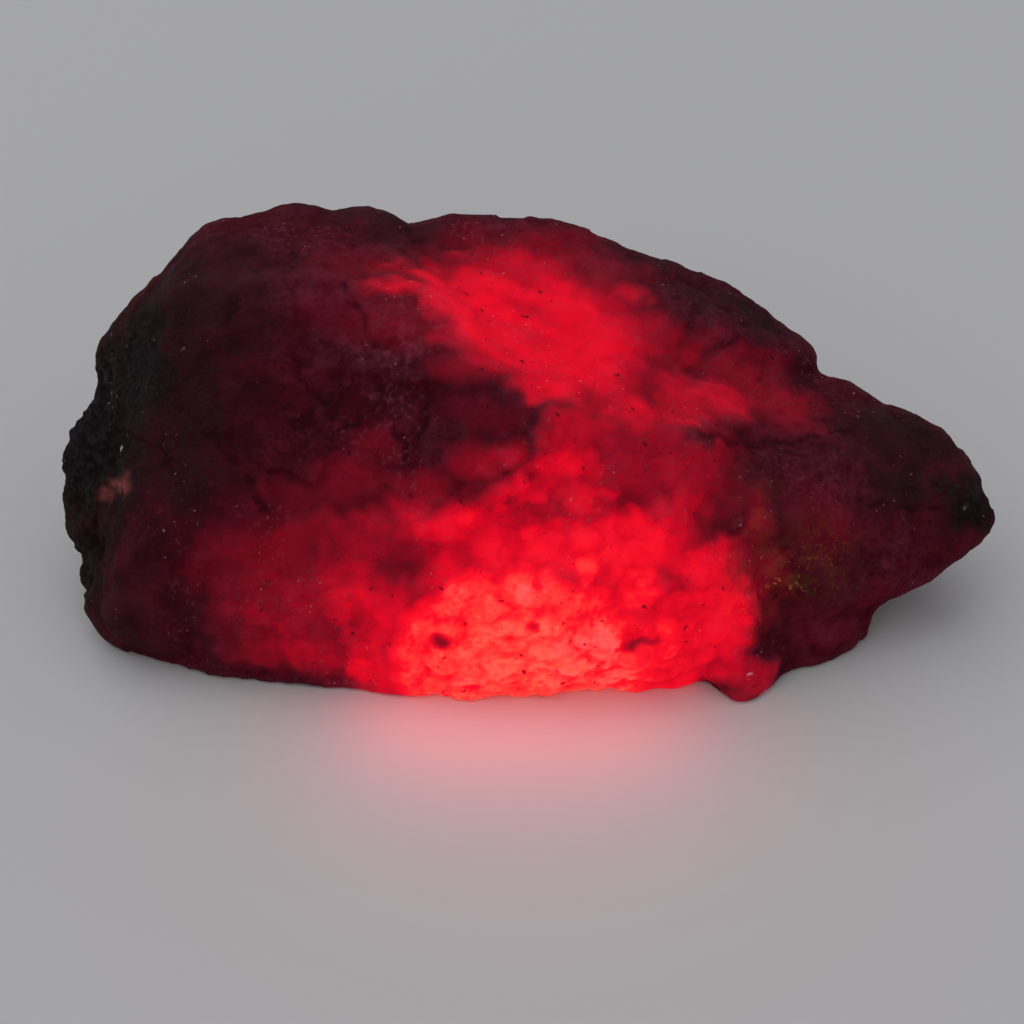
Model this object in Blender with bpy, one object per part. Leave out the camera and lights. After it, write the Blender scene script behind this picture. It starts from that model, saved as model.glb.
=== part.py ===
"""A raw ruby crystal: one rough lump of corundum, lying on a flat parting face.

The lump is a few blunt blocks grown together: a tall shoulder at the left, a crown behind the middle, a
grainy belly low at the front, and a nose that tapers to the right and hangs clear of the ground. The
blocks are convex, so they meet in the creases and ledges of the real stone. They are shrunk into one
skin, the skin is roughened, and the underside is cut off flat.

X runs along the stone towards its nose, Y from its front to its back, and Z up. Inside this script the
stone is modelled in millimetres; fit_to_size brings it to metres at its real size.
"""

from math import radians

import bmesh
import bpy
from mathutils import Matrix, Vector, noise

MM = 0.001

# Driving dimensions, in metres.
LENGTH = 72.5 * MM
DEPTH = 40.0 * MM
HEIGHT = 27.3 * MM

# How the skin is made, in millimetres.
SKIN_VOXEL = 0.7
ROUNDING_PASSES = 3
ROUNDING_FACTOR = 0.5
TRIANGLES = 11000
SHARP_ANGLE = radians(38)

RUBY_RED = (0.13, 0.012, 0.028, 1.0)
RUBY_ROUGHNESS = 0.55

# The blocks, each as the corners of a convex solid, in millimetres: x, y, z.
SHOULDER = (
    # foot, front then back
    (-30.2, -12.0, -1), (-26.8, -13.5, -1), (-20.5, -15.8, -1), (-13.5, -16.7, -1), (-4.0, -15.4, -1),
    (-32.8, -8.4, -1), (-33.0, 1.0, -1), (-29.0, 10.0, -1), (-21.0, 15.4, -1), (-6.0, 16.5, -1),
    # low left corner
    (-33.5, -10.2, 2.2), (-34.4, -8.9, 2.4), (-34.1, -6.0, 5.6), (-34.4, -1.0, 11.2), (-33.6, 2.0, 15.2),
    # left edge of the front face, and the face
    (-30.9, -13.6, 5.2), (-30.2, -11.0, 9.9), (-29.6, -8.0, 13.3), (-28.6, -5.0, 16.8), (-27.0, -2.0, 21.3),
    (-20.5, -15.0, 6.5), (-10.0, -16.4, 9.0),
    # right edge, where it steps down to the crown
    (-3.2, -14.4, 16.8), (0.5, -12.4, 19.3), (1.4, -10.8, 21.0), (-1.6, -8.0, 22.6), (-7.6, -2.0, 26.0),
    # top: the ridge at its front, then the skyline
    (-26.2, 0.0, 25.4), (-20.5, -1.2, 26.3), (-13.5, -1.0, 27.2),
    (-32.8, 3.0, 17.6), (-30.4, 4.8, 21.2), (-27.4, 6.0, 22.8), (-24.2, 8.2, 26.1),
    (-18.5, 9.5, 26.7), (-14.5, 9.5, 26.5), (-10.4, 9.5, 25.6),
    # back
    (-30.0, 9.5, 12.0), (-21.0, 15.0, 12.0), (-9.0, 15.6, 14.0),
)

CROWN = (
    # skyline, left to right
    (-12.0, 9.5, 23.4), (-6.2, 10.4, 25.0), (1.1, 10.6, 25.1), (5.2, 10.5, 23.7), (10.7, 9.8, 21.4),
    (17.0, 8.4, 17.8), (21.0, 6.0, 15.2),
    # the smooth slope towards the front
    (-10.0, -3.0, 24.2), (-5.5, -6.0, 22.4), (1.0, -9.4, 20.4), (9.8, -10.2, 19.0), (15.0, -7.5, 17.5),
    (21.5, 0.0, 15.0),
    # down to the foot, front then back
    (-8.0, -15.4, 13.0), (3.0, -15.0, 14.0), (11.5, -14.6, 13.0), (18.5, -12.6, 8.0), (22.0, -6.0, 7.0),
    (-3.0, -15.6, -1), (13.0, -14.8, -1), (20.0, -11.0, -1), (18.0, 9.0, -1), (8.0, 15.0, -1),
    (-7.0, 16.0, -1), (-7.0, 15.5, 16.0), (8.0, 14.6, 13.0), (17.5, 11.5, 8.0),
)

# A rim along the crown's right-hand skyline, raised a little above the slope, that ends in a small step.
RIM = (
    (4.0, 10.7, 24.2), (10.8, 10.2, 22.0), (17.0, 9.2, 18.1), (21.3, 8.0, 16.0), (23.1, 7.2, 15.6),
    (23.5, 5.6, 14.8), (6.0, 4.0, 23.2), (11.0, 1.6, 20.9), (16.0, 2.4, 18.7), (21.9, 4.2, 16.4),
    (5.0, 11.0, 18.0), (18.0, 9.6, 12.0), (22.0, 5.4, 11.0), (8.0, 4.0, 18.0),
)

BELLY_BLOCK = (
    (-12.0, -17.2, -1), (-5.6, -16.1, -1), (1.2, -17.5, -1), (7.0, -15.6, -1), (12.5, -15.8, -1),
    (17.5, -13.8, -1), (-13.0, -17.0, 5.0), (-8.0, -18.3, 4.6), (1.0, -19.4, 5.2), (9.0, -18.8, 5.4),
    (17.6, -16.0, 5.0), (-10.0, -16.8, 10.0), (-4.0, -17.8, 11.4), (3.5, -18.2, 12.2), (10.5, -17.6, 11.2),
    (17.2, -15.0, 9.0), (0.5, -13.0, 15.0), (9.0, -13.4, 14.6), (14.5, -12.0, 12.6),
)

NOSE = (
    # back edge of its top, from the crown to the tip
    (17.0, 7.0, 15.6), (22.4, 5.6, 13.8), (25.0, 4.4, 12.2), (27.7, 3.0, 11.6), (30.4, 1.0, 11.6),
    (33.0, -1.0, 11.9), (34.9, -2.8, 11.0),
    # front edge of its top
    (13.5, -7.8, 16.8), (18.5, -7.6, 15.9), (25.5, -3.4, 14.5),
    # blunt tip
    (36.3, -4.2, 10.2), (36.5, -6.0, 8.3), (35.9, -7.4, 7.3), (34.2, -8.0, 7.4), (34.8, -2.8, 7.0),
    # front flank
    (20.0, -12.2, 12.8), (26.0, -9.9, 11.0), (30.5, -7.4, 10.6), (23.6, -13.2, 6.0), (27.2, -11.6, 5.8),
    (32.0, -9.2, 6.8), (30.4, -10.5, 5.4), (27.4, -10.8, 4.8),
    # root, and the underside that rises towards the tip
    (11.0, -13.6, 12.4), (13.0, -14.0, 1.0), (20.0, -11.5, -1), (24.5, -7.0, -1), (23.0, 6.0, -1),
    (30.0, 0.0, 3.6), (27.5, 5.0, 6.4), (17.0, 11.5, 3.0), (22.0, 8.5, 9.0),
)

HEEL = (
    (18.0, -14.6, -1), (20.9, -14.5, -1), (22.7, -13.1, -1), (24.4, -12.4, -1), (25.6, -11.4, -1),
    (26.0, -8.0, -1), (16.0, -8.0, -1), (26.8, -10.8, 1.2), (26.6, -10.2, 2.2), (25.4, -12.4, 2.2),
    (22.5, -14.2, 2.6), (26.2, -9.0, 4.4), (22.6, -13.0, 5.6), (17.4, -14.6, 6.2), (16.5, -15.4, 3.0),
)

TOE = (
    (14.6, -16.3, -1), (15.9, -17.7, -1), (17.2, -17.7, -1), (19.4, -15.4, -1), (19.0, -12.0, -1),
    (13.4, -13.0, -1), (14.8, -16.8, 1.6), (16.6, -18.2, 1.2), (19.2, -16.0, 2.0), (16.2, -16.8, 3.6),
    (18.8, -14.5, 4.4),
)

# The crust that stands out from the left end.
CRUST = (
    (-35.4, -1.0, 13.2), (-34.6, 0.5, 13.2), (-36.5, -2.0, 10.4), (-36.3, -3.2, 8.8), (-35.9, -4.4, 7.0),
    (-35.6, 0.5, 9.4), (-34.8, 2.6, 5.0), (-34.6, -6.5, 3.6), (-32.0, -7.0, 10.4), (-30.5, -4.0, 14.0),
    (-31.0, 4.0, 9.0), (-30.0, -4.0, 4.0),
)

# Blocks of the back, each broken off along its own flat parting face.
BACK_SLAB = (
    (-17.0, 17.0, -1), (-14.5, 19.4, -1), (2.0, 20.0, -1), (6.0, 17.0, -1), (6.0, 11.0, -1),
    (-16.0, 18.6, 10.5), (1.0, 19.2, 11.5), (4.6, 17.2, 9.4), (-15.0, 13.4, 12.4), (2.0, 13.0, 13.4),
)
BACK_TERRACE = (
    (2.0, 18.6, -1), (13.0, 15.6, -1), (20.0, 10.5, -1), (17.0, 6.0, -1), (3.0, 10.0, -1),
    (3.0, 18.2, 4.8), (12.6, 15.4, 5.2), (19.4, 10.2, 5.6), (4.0, 12.0, 6.6), (16.0, 6.0, 7.2),
)
BACK_KNOB = (
    (-27.5, 11.0, -1), (-24.0, 15.8, -1), (-16.0, 17.4, -1), (-28.0, 10.4, 8.0), (-24.6, 15.4, 10.5),
    (-16.4, 17.2, 12.0), (-25.8, 11.2, 16.0), (-17.0, 14.2, 18.0), (-12.0, 10.0, 12.0), (-20.0, 8.0, 10.0),
)

BLOCKS = (SHOULDER, CROWN, RIM, BELLY_BLOCK, NOSE, HEEL, TOE, CRUST, BACK_SLAB, BACK_TERRACE, BACK_KNOB)

# Broad lumps raised on the skin: centre, reach and height.
LUMPS = (
    # a row under the shoulder's ledge
    (Vector((-5.6, -12.4, 19.0)), 3.2, 0.7), (Vector((-2.2, -13.6, 17.8)), 3.0, 0.9),
    (Vector((-6.4, -14.8, 15.4)), 3.0, 0.7), (Vector((-10.6, -15.6, 12.6)), 3.2, 0.6),
    # the band between the crown's slope and the belly
    (Vector((2.6, -10.6, 19.4)), 3.4, 0.9), (Vector((7.0, -11.4, 18.4)), 3.6, 1.0),
    (Vector((11.6, -10.6, 17.4)), 3.4, 0.8), (Vector((4.6, -14.6, 15.2)), 3.2, 0.9),
    (Vector((9.8, -14.4, 14.4)), 3.0, 0.8),
    # low on the shoulder
    (Vector((-15.5, -16.6, 7.0)), 4.0, 0.8), (Vector((-22.0, -15.6, 5.6)), 4.2, 0.8),
    (Vector((-28.6, -13.4, 4.4)), 3.4, 0.7),
    # along the skyline
    (Vector((-11.8, 9.0, 25.4)), 2.8, 0.6), (Vector((-18.6, 8.6, 26.4)), 3.6, 0.4),
    # on the nose
    (Vector((25.6, 3.6, 13.4)), 2.6, 0.4), (Vector((23.0, -12.6, 7.0)), 3.4, 0.6),
    (Vector((29.5, -7.8, 9.0)), 4.0, 0.5),
)

# Roughness of the skin: the size of each kind of form, and how far it stands out or sinks in.
PLUMPNESS = 0.25
WANDER_SIZE, WANDER = 9.0, 0.6
WANDER_SEEDS = (Vector((17.0, 0.0, 0.0)), Vector((0.0, 31.0, 0.0)), Vector((0.0, 0.0, 53.0)))
SWELL_SIZE, SWELL = 7.5, 0.4

# Flat grains: each has its own level and tilt, drawn from these seeds, and a crease around it.
GRAIN_SIZE, GRAIN_LEVEL, GRAIN_TILT = 4.8, 0.45, 0.16
CREASE_WIDTH = 0.35
LEVEL_SEED, TILT_SEED = 7.3, 3.1

# Round grains of the belly: the share of a grain that domes up, and how blunt the dome is.
BELLY_GRAIN_SIZE, BELLY_GRAIN = 3.6, 0.9
DOME_SHARE, DOME_BLUNTNESS, DOME_MIDDLE = 0.67, 0.6, 0.7

# Pits of the crusts, with finer pits among them.
PIT_SIZE, PIT_DEPTH = 3.2, 1.3
FINE_PITS, FINE_PIT_SIZE = 0.5, 1.4

# Parting steps of the back: the rise from one to the next, how far each stands out, and how they run.
PARTING_RISE, PARTING_STEP = 6.4, 0.9
PARTING_ACROSS = Vector((0.25, 0.3, 0.92))
PARTING_DROP = 6
PARTING_BEND, PARTING_BEND_SIZE = 0.25, 12.0
PARTING_PATCH_SIZE, PARTING_PATCH_MEAN, PARTING_PATCH_CONTRAST = 11.0, 0.6, 1.4
BACK_STARTS, BACK_FULL = 7.0, 13.0

# Where the belly's round grains, and the pitted crust at each end, are: centre and reach.
BELLY = (Vector((2.5, -17.5, 5.5)), Vector((17.5, 9.0, 12.0)))
CRUSTS = (
    (Vector((-34.5, -3.0, 9.0)), Vector((6.0, 12.0, 16.0))),
    (Vector((36.5, -5.0, 8.0)), Vector((4.5, 5.0, 5.0))),
)

# Shell-shaped scars where chips broke off: centre and radius of the ball that bites into the skin.
SCARS = (
    (Vector((-3.0, 27.0, 22.0)), 12.5),
    (Vector((14.0, 21.0, 15.5)), 8.5),
    (Vector((-32.5, 15.0, 21.0)), 9.0),
    (Vector((30.0, 9.0, 8.5)), 6.0),
)


def clear_scene():
    for obj in list(bpy.data.objects):
        bpy.data.objects.remove(obj)


def add_block(bm, corners):
    """Adds the convex solid that these corners span."""
    verts = [bm.verts.new(corner) for corner in corners]
    hull = bmesh.ops.convex_hull(bm, input=verts)
    inside = {v for v in hull["geom_interior"] + hull["geom_unused"] if isinstance(v, bmesh.types.BMVert)}
    bmesh.ops.delete(bm, geom=list(inside), context="VERTS")


def bake_modifiers(obj):
    """Replaces the object's mesh by what its modifiers make of it."""
    graph = bpy.context.evaluated_depsgraph_get()
    obj.data = bpy.data.meshes.new_from_object(obj.evaluated_get(graph))
    obj.modifiers.clear()


def grown_together(name):
    """All the blocks shrunk into one skin of even faces, with their edges slightly rounded."""
    bm = bmesh.new()
    for corners in BLOCKS:
        add_block(bm, corners)
    mesh = bpy.data.meshes.new(name)
    bm.to_mesh(mesh)
    bm.free()
    stone = bpy.data.objects.new(name, mesh)
    bpy.context.scene.collection.objects.link(stone)
    skin = stone.modifiers.new("Skin", "REMESH")
    skin.mode = "VOXEL"
    skin.voxel_size = SKIN_VOXEL
    rounding = stone.modifiers.new("Rounding", "SMOOTH")
    rounding.iterations = ROUNDING_PASSES
    rounding.factor = ROUNDING_FACTOR
    bake_modifiers(stone)
    return stone


def clamp(share):
    return max(0.0, min(1.0, share))


def share_inside(point, centre, reach):
    """1 near the centre of a soft-edged ellipsoid, 0 from its reach outwards."""
    away = Vector((point[i] - centre[i]) / reach[i] for i in range(3)).length
    return clamp(2 - 2 * away)


def flat_grain(point):
    distances, centres = noise.voronoi(point / GRAIN_SIZE)
    level = noise.cell_vector(centres[0] * LEVEL_SEED).x - 0.5
    tilt = noise.cell_vector(centres[0] * TILT_SEED) - Vector((0.5, 0.5, 0.5))
    off_centre = point - centres[0] * GRAIN_SIZE
    inside = clamp((distances[1] - distances[0]) / CREASE_WIDTH)
    return inside * (GRAIN_LEVEL * level + GRAIN_TILT * tilt.dot(off_centre))


def round_grain(point):
    distances, _ = noise.voronoi(point / BELLY_GRAIN_SIZE)
    dome = clamp((distances[1] - distances[0]) / DOME_SHARE) ** DOME_BLUNTNESS
    return BELLY_GRAIN * (dome - DOME_MIDDLE)


def pit(point):
    return -PIT_DEPTH * abs(noise.noise(point / PIT_SIZE) + FINE_PITS * noise.noise(point / FINE_PIT_SIZE))


def parting(point):
    """Parallel parting faces in patches, each face a slow rise that ends in a sudden drop."""
    bend = PARTING_BEND * noise.noise(point / PARTING_BEND_SIZE)
    along = (point.dot(PARTING_ACROSS) / PARTING_RISE + bend) % 1
    patch = clamp(PARTING_PATCH_MEAN + PARTING_PATCH_CONTRAST * noise.noise(point / PARTING_PATCH_SIZE))
    return patch * PARTING_STEP * (min(along, (1 - along) * PARTING_DROP) - 0.5)


def lump(point):
    """How high the broad lumps stand here."""
    return max(
        height * clamp(1 - ((point - centre).length / reach) ** 2) for centre, reach, height in LUMPS
    )


def scar(point):
    """How deep a chip bit in here."""
    return -max(0.0, *(radius - (point - centre).length for centre, radius in SCARS))


def relief(point):
    """How far the skin stands out from the blocks at this point."""
    belly = share_inside(point, *BELLY)
    crust = max(share_inside(point, *place) for place in CRUSTS)
    back = clamp((point.y - BACK_STARTS) / (BACK_FULL - BACK_STARTS))
    return (
        PLUMPNESS
        + SWELL * noise.noise(point / SWELL_SIZE)
        + (1 - belly) * flat_grain(point)
        + belly * round_grain(point)
        + crust * pit(point)
        + back * parting(point)
        + lump(point)
        + scar(point)
    )


def wander(point):
    """A slow sideways drift of the skin."""
    return WANDER * Vector([noise.noise(point / WANDER_SIZE + seed) for seed in WANDER_SEEDS])


def roughen(mesh):
    """Wanders the skin sideways, so that no crease is straight, then raises its relief."""
    normals = [normal.vector.copy() for normal in mesh.vertex_normals]
    for vert, normal in zip(mesh.vertices, normals):
        place = vert.co.copy()
        vert.co = place + wander(place) + normal * relief(place)


def thin_out(stone):
    """Drops the triangles that the shape doesn't need."""
    triangles = sum(len(face.vertices) - 2 for face in stone.data.polygons)
    decimate = stone.modifiers.new("Thin out", "DECIMATE")
    decimate.ratio = TRIANGLES / triangles
    bake_modifiers(stone)


def cut_base(mesh):
    """Cuts off what lies below the ground, and closes the cut with a flat face."""
    bm = bmesh.new()
    bm.from_mesh(mesh)
    everything = bm.verts[:] + bm.edges[:] + bm.faces[:]
    cut = bmesh.ops.bisect_plane(
        bm, geom=everything, dist=0.02, plane_co=(0, 0, 0), plane_no=(0, 0, -1), clear_outer=True
    )
    rim = [e for e in cut["geom_cut"] if isinstance(e, bmesh.types.BMEdge)]
    bmesh.ops.holes_fill(bm, edges=rim)
    bmesh.ops.triangulate(bm, faces=bm.faces[:])
    bmesh.ops.recalc_face_normals(bm, faces=bm.faces[:])
    bm.to_mesh(mesh)
    bm.free()


def fit_to_size(mesh):
    """Brings the stone to its real size, with its origin under the middle of its box."""
    corners = [v.co for v in mesh.vertices]
    low = Vector(min(c[i] for c in corners) for i in range(3))
    high = Vector(max(c[i] for c in corners) for i in range(3))
    middle = Vector(((low.x + high.x) / 2, (low.y + high.y) / 2, low.z))
    size = Vector((LENGTH, DEPTH, HEIGHT))
    scale = Matrix.Diagonal([size[i] / (high[i] - low[i]) for i in range(3)]).to_4x4()
    mesh.transform(scale @ Matrix.Translation(-middle))


def finish(mesh):
    """Shades the lumps round and the ledges sharp, in dark, dull ruby red."""
    mesh.shade_smooth()
    mesh.set_sharp_from_angle(angle=SHARP_ANGLE)
    ruby = bpy.data.materials.new("Raw ruby")
    ruby.use_nodes = True
    shader = ruby.node_tree.nodes["Principled BSDF"]
    shader.inputs["Base Color"].default_value = RUBY_RED
    shader.inputs["Roughness"].default_value = RUBY_ROUGHNESS
    shader.inputs["Metallic"].default_value = 0.0
    mesh.materials.clear()
    mesh.materials.append(ruby)


def main():
    clear_scene()
    stone = grown_together("ruby_crystal")
    roughen(stone.data)
    thin_out(stone)
    cut_base(stone.data)
    fit_to_size(stone.data)
    finish(stone.data)


main()
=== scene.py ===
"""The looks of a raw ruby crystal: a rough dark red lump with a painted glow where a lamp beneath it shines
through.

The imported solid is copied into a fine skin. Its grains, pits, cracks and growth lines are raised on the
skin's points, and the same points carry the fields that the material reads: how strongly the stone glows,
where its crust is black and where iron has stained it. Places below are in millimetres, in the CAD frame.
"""

from math import cos, radians, sin

import bmesh
import bpy
import numpy as np
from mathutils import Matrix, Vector, noise


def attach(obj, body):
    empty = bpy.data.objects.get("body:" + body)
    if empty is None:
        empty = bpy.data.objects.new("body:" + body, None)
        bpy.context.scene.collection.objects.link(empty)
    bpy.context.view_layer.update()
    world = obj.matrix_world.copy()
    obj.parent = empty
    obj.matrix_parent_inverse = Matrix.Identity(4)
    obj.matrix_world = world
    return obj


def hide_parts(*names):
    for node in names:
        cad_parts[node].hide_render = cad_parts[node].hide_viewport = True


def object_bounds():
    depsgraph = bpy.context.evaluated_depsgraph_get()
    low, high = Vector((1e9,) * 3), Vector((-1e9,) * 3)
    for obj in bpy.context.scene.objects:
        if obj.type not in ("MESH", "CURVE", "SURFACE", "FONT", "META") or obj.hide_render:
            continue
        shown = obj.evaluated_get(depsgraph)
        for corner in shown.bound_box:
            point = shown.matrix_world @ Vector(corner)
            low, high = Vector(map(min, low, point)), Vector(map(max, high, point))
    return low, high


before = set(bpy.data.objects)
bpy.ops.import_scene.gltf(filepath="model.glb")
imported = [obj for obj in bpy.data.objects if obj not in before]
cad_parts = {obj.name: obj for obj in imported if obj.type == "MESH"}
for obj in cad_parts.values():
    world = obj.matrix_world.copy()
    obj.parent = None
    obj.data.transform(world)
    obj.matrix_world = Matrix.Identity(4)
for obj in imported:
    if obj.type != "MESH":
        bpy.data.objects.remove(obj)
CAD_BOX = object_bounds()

MM = 0.001

# The camera looks at the stone as the photograph does: from the front, well above the table.
CAMERA_ELEVATION = radians(38)
CAMERA_DISTANCE = 227.5
CAMERA_TARGET = (-1.06, -0.41, 4.02)
CAMERA_LENS = 100

# The skin.
SKIN_VOXEL = 0.31
SKIN_SMOOTHING = 7
# What the smoothing takes off is given back all round.
SKIN_GROWTH = 0.12

# Sizes of the grains, and of the noise that bends every edge.
GRAIN_SIZE = 2.3
FINE_GRAIN_SIZE = 1.1
WARP_SIZE = 3.5
FINE_WARP_SIZE = 1.2

# Heights of the relief. A grain is measured from the mean height of its dome, and the step between two
# chips is a share of the chips' own height.
GRAIN_HEIGHT = 0.24
FINE_GRAIN_HEIGHT = 0.12
MEAN_DOME = 0.75
CHIP_HEIGHT = 0.09
CHIP_STEP = 0.3
BROKEN_RIDGE_HEIGHT = 0.15
SWELL_HEIGHT = 0.10
FINE_SWELL_HEIGHT = 0.06
GROWTH_HEIGHT = 0.06
PIT_DEPTH = 0.6
FINE_PIT_DEPTH = 0.5
CRUST_LIFT = 0.2

# Zones of the stone's surface, as soft-edged ellipsoids: centre and reach.
BELLY = ((3.0, -18.5, 4.5), (18.5, 8.5, 13.0))
BAND = ((4.0, -13.5, 16.0), (15.5, 6.0, 6.5))
FOOT = ((-19.0, -17.0, 5.0), (12.0, 6.0, 7.0))
LUMPS_UNDER_LEDGE = ((-4.0, -14.0, 17.0), (6.5, 3.5, 4.5))
SLOPE = ((1.5, -1.8, 23.0), (14.0, 10.5, 6.0))
LEFT_PITS = ((-35.5, -2.5, 10.0), (8.0, 15.0, 17.0))
NOSE_PITS = ((36.0, -5.5, 9.0), (4.6, 5.0, 5.0))

# The dark shoulder's right-hand edge seen from above. The stone left of it is thick, and stays dark.
LEDGE = (
    (-9.5, 12.0), (-9.0, 2.0), (-8.0, -2.8), (-7.4, -6.4), (-3.0, -8.8), (-0.6, -9.6),
    (0.9, -11.2), (0.8, -12.8), (-3.0, -14.8), (-9.0, -16.2), (-12.0, -24.0),
)
LEDGE_SOFTNESS = 0.6
# The heights between which the shoulder's thick stone begins.
LEDGE_BOTTOM = (14.5, 17.5)

# Where lamplight from beneath is painted on as glow: centre, reach to half strength, strength, and hardness
# of the edge.
# The belly, hottest in its middle, has the clearest edge.
BELLY_GLOWS = (
    ((-0.2, -18.5, 3.2), (10.9, 7.0, 10.2), 0.95, 16),
    ((0.2, -19.0, 5.0), (8.3, 5.2, 5.8), 0.985, 7),
    ((11.8, -17.0, 6.4), (6.1, 6.0, 4.4), 0.81, 12),
    ((9.2, -18.4, 6.0), (3.6, 4.0, 3.6), 0.89, 5),
    ((8.8, -17.5, 2.0), (5.4, 6.0, 5.0), 0.82, 12),
)
GLOWS = (
    # round the belly
    ((-11.2, -17.5, 2.0), (3.2, 3.5, 4.0), 0.78, 4),
    ((8.2, -17.5, 10.2), (3.8, 3.0, 2.8), 0.89, 3),
    ((-13.5, -17.6, 2.0), (4.4, 3.5, 2.4), 0.57, 3),
    ((5.8, -15.8, 13.2), (8.2, 4.0, 3.0), 0.86, 5),
    ((14.8, -15.2, 8.5), (2.4, 3.5, 3.1), 0.75, 5),
    ((3.8, -16.8, 11.6), (3.5, 3.0, 1.8), 0.90, 3),
    ((12.8, -18.0, 1.4), (2.4, 3.0, 1.6), 0.72, 4),
    ((13.2, -15.8, 11.2), (3.0, 3.0, 2.0), 0.81, 4),
    ((15.6, -14.6, 11.6), (1.8, 2.4, 1.6), 0.58, 3),
    ((17.2, -15.0, 8.2), (2.9, 3.0, 4.0), 0.46, 3),
    ((-6.5, -16.8, 11.4), (3.8, 3.0, 2.4), 0.82, 3),
    ((-1.5, -16.8, 12.8), (4.5, 3.0, 2.0), 0.82, 3),
    # the band above it
    ((-4.0, -16.0, 14.6), (6.8, 3.5, 3.2), 0.815, 3),
    ((0.2, -13.8, 17.2), (5.0, 3.5, 2.4), 0.83, 3),
    ((3.4, -12.8, 18.2), (3.0, 2.4, 1.5), 0.78, 3),
    ((3.0, -7.8, 21.6), (3.0, 1.9, 1.5), 0.72, 3),
    ((4.6, -14.4, 16.2), (3.2, 3.0, 1.6), 0.76, 3),
    ((3.2, -10.8, 20.0), (4.2, 4.5, 2.2), 0.63, 3),
    ((0.8, -8.4, 21.8), (2.8, 2.6, 2.4), 0.74, 3),
    ((9.0, -12.0, 17.0), (8.4, 6.0, 5.5), 0.54, 4),
    ((7.4, -8.9, 20.0), (3.8, 2.4, 2.0), 0.70, 3),
    ((12.0, -13.8, 14.8), (3.2, 3.0, 2.2), 0.66, 3),
    # the crown's slope, and the thinner stone right of it
    ((1.4, -2.2, 23.0), (9.4, 6.1, 6.0), 0.76, 6),
    ((-3.4, -1.4, 24.8), (5.0, 4.8, 4.0), 0.725, 8),
    ((-3.4, -5.6, 23.8), (4.4, 2.6, 3.0), 0.60, 4),
    ((-3.5, 2.4, 24.6), (5.5, 2.2, 2.5), 0.68, 3),
    ((1.0, 2.8, 23.8), (6.0, 2.4, 2.5), 0.68, 3),
    ((7.8, 2.9, 22.3), (2.0, 1.4, 1.5), 0.62, 3),
    ((5.5, -5.5, 21.0), (4.6, 3.5, 3.0), 0.74, 3),
    ((13.8, -4.6, 18.3), (6.0, 3.0, 2.2), 0.63, 3),
    ((9.0, -0.4, 21.0), (3.2, 3.6, 2.4), 0.55, 3),
    ((13.4, 1.4, 20.2), (2.4, 1.8, 2.0), 0.38, 3),
    ((16.5, -1.2, 17.6), (5.5, 2.8, 2.0), 0.42, 3),
    ((12.6, -0.8, 19.8), (2.6, 2.4, 2.0), 0.50, 3),
    ((19.5, 1.5, 16.8), (3.0, 2.5, 2.0), 0.36, 3),
    ((15.2, -9.6, 17.0), (3.0, 2.4, 1.8), 0.44, 3),
    ((11.5, -7.6, 19.0), (3.4, 2.4, 1.6), 0.61, 3),
    ((18.5, -2.5, 16.6), (6.5, 4.0, 2.6), 0.45, 2.5),
    ((11.0, -5.0, 19.2), (3.5, 3.5, 2.5), 0.60, 2),
    # its halo
    ((1.0, 5.0, 24.5), (13.0, 5.0, 3.5), 0.44, 2.5),
    ((-0.5, 4.8, 24.4), (6.5, 1.8, 3.0), 0.66, 2.5),
    # low on the left
    ((-10.6, -17.0, 7.5), (4.6, 3.5, 5.2), 0.76, 3),
    ((-17.0, -16.0, 6.5), (6.5, 4.0, 5.5), 0.55, 2.5),
    ((-20.0, -14.0, 10.6), (7.0, 4.0, 4.5), 0.41, 2),
    ((-12.5, -15.2, 13.0), (5.5, 3.0, 3.6), 0.53, 2.5),
    ((-15.8, -17.0, 3.6), (6.5, 3.5, 2.8), 0.60, 3),
    ((-13.2, -16.2, 10.4), (4.2, 3.0, 2.4), 0.64, 3),
    ((-18.0, -14.4, 11.6), (3.5, 2.5, 3.0), 0.44, 3),
    # dim: the toe, the stone beside the belly, the nose and the heel
    ((16.6, -17.6, 1.4), (2.4, 3.5, 1.9), 0.54, 5),
    ((14.2, -17.8, 2.8), (2.6, 3.5, 2.2), 0.70, 4),
    ((17.0, -12.6, 12.6), (1.9, 3.0, 3.6), 0.42, 3),
    ((22.0, -10.5, 11.5), (6.0, 5.0, 4.5), 0.28, 3),
    ((26.5, -12.5, 5.0), (6.0, 4.0, 3.0), 0.24, 2),
    ((22.5, -14.5, 3.4), (4.2, 4.0, 4.2), 0.24, 3),
    # the back, low down
    ((-5.0, 19.0, 3.0), (11.0, 5.0, 5.0), 0.62, 3),
    ((8.0, 14.0, 5.0), (7.0, 6.0, 5.0), 0.40, 2),
)
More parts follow.
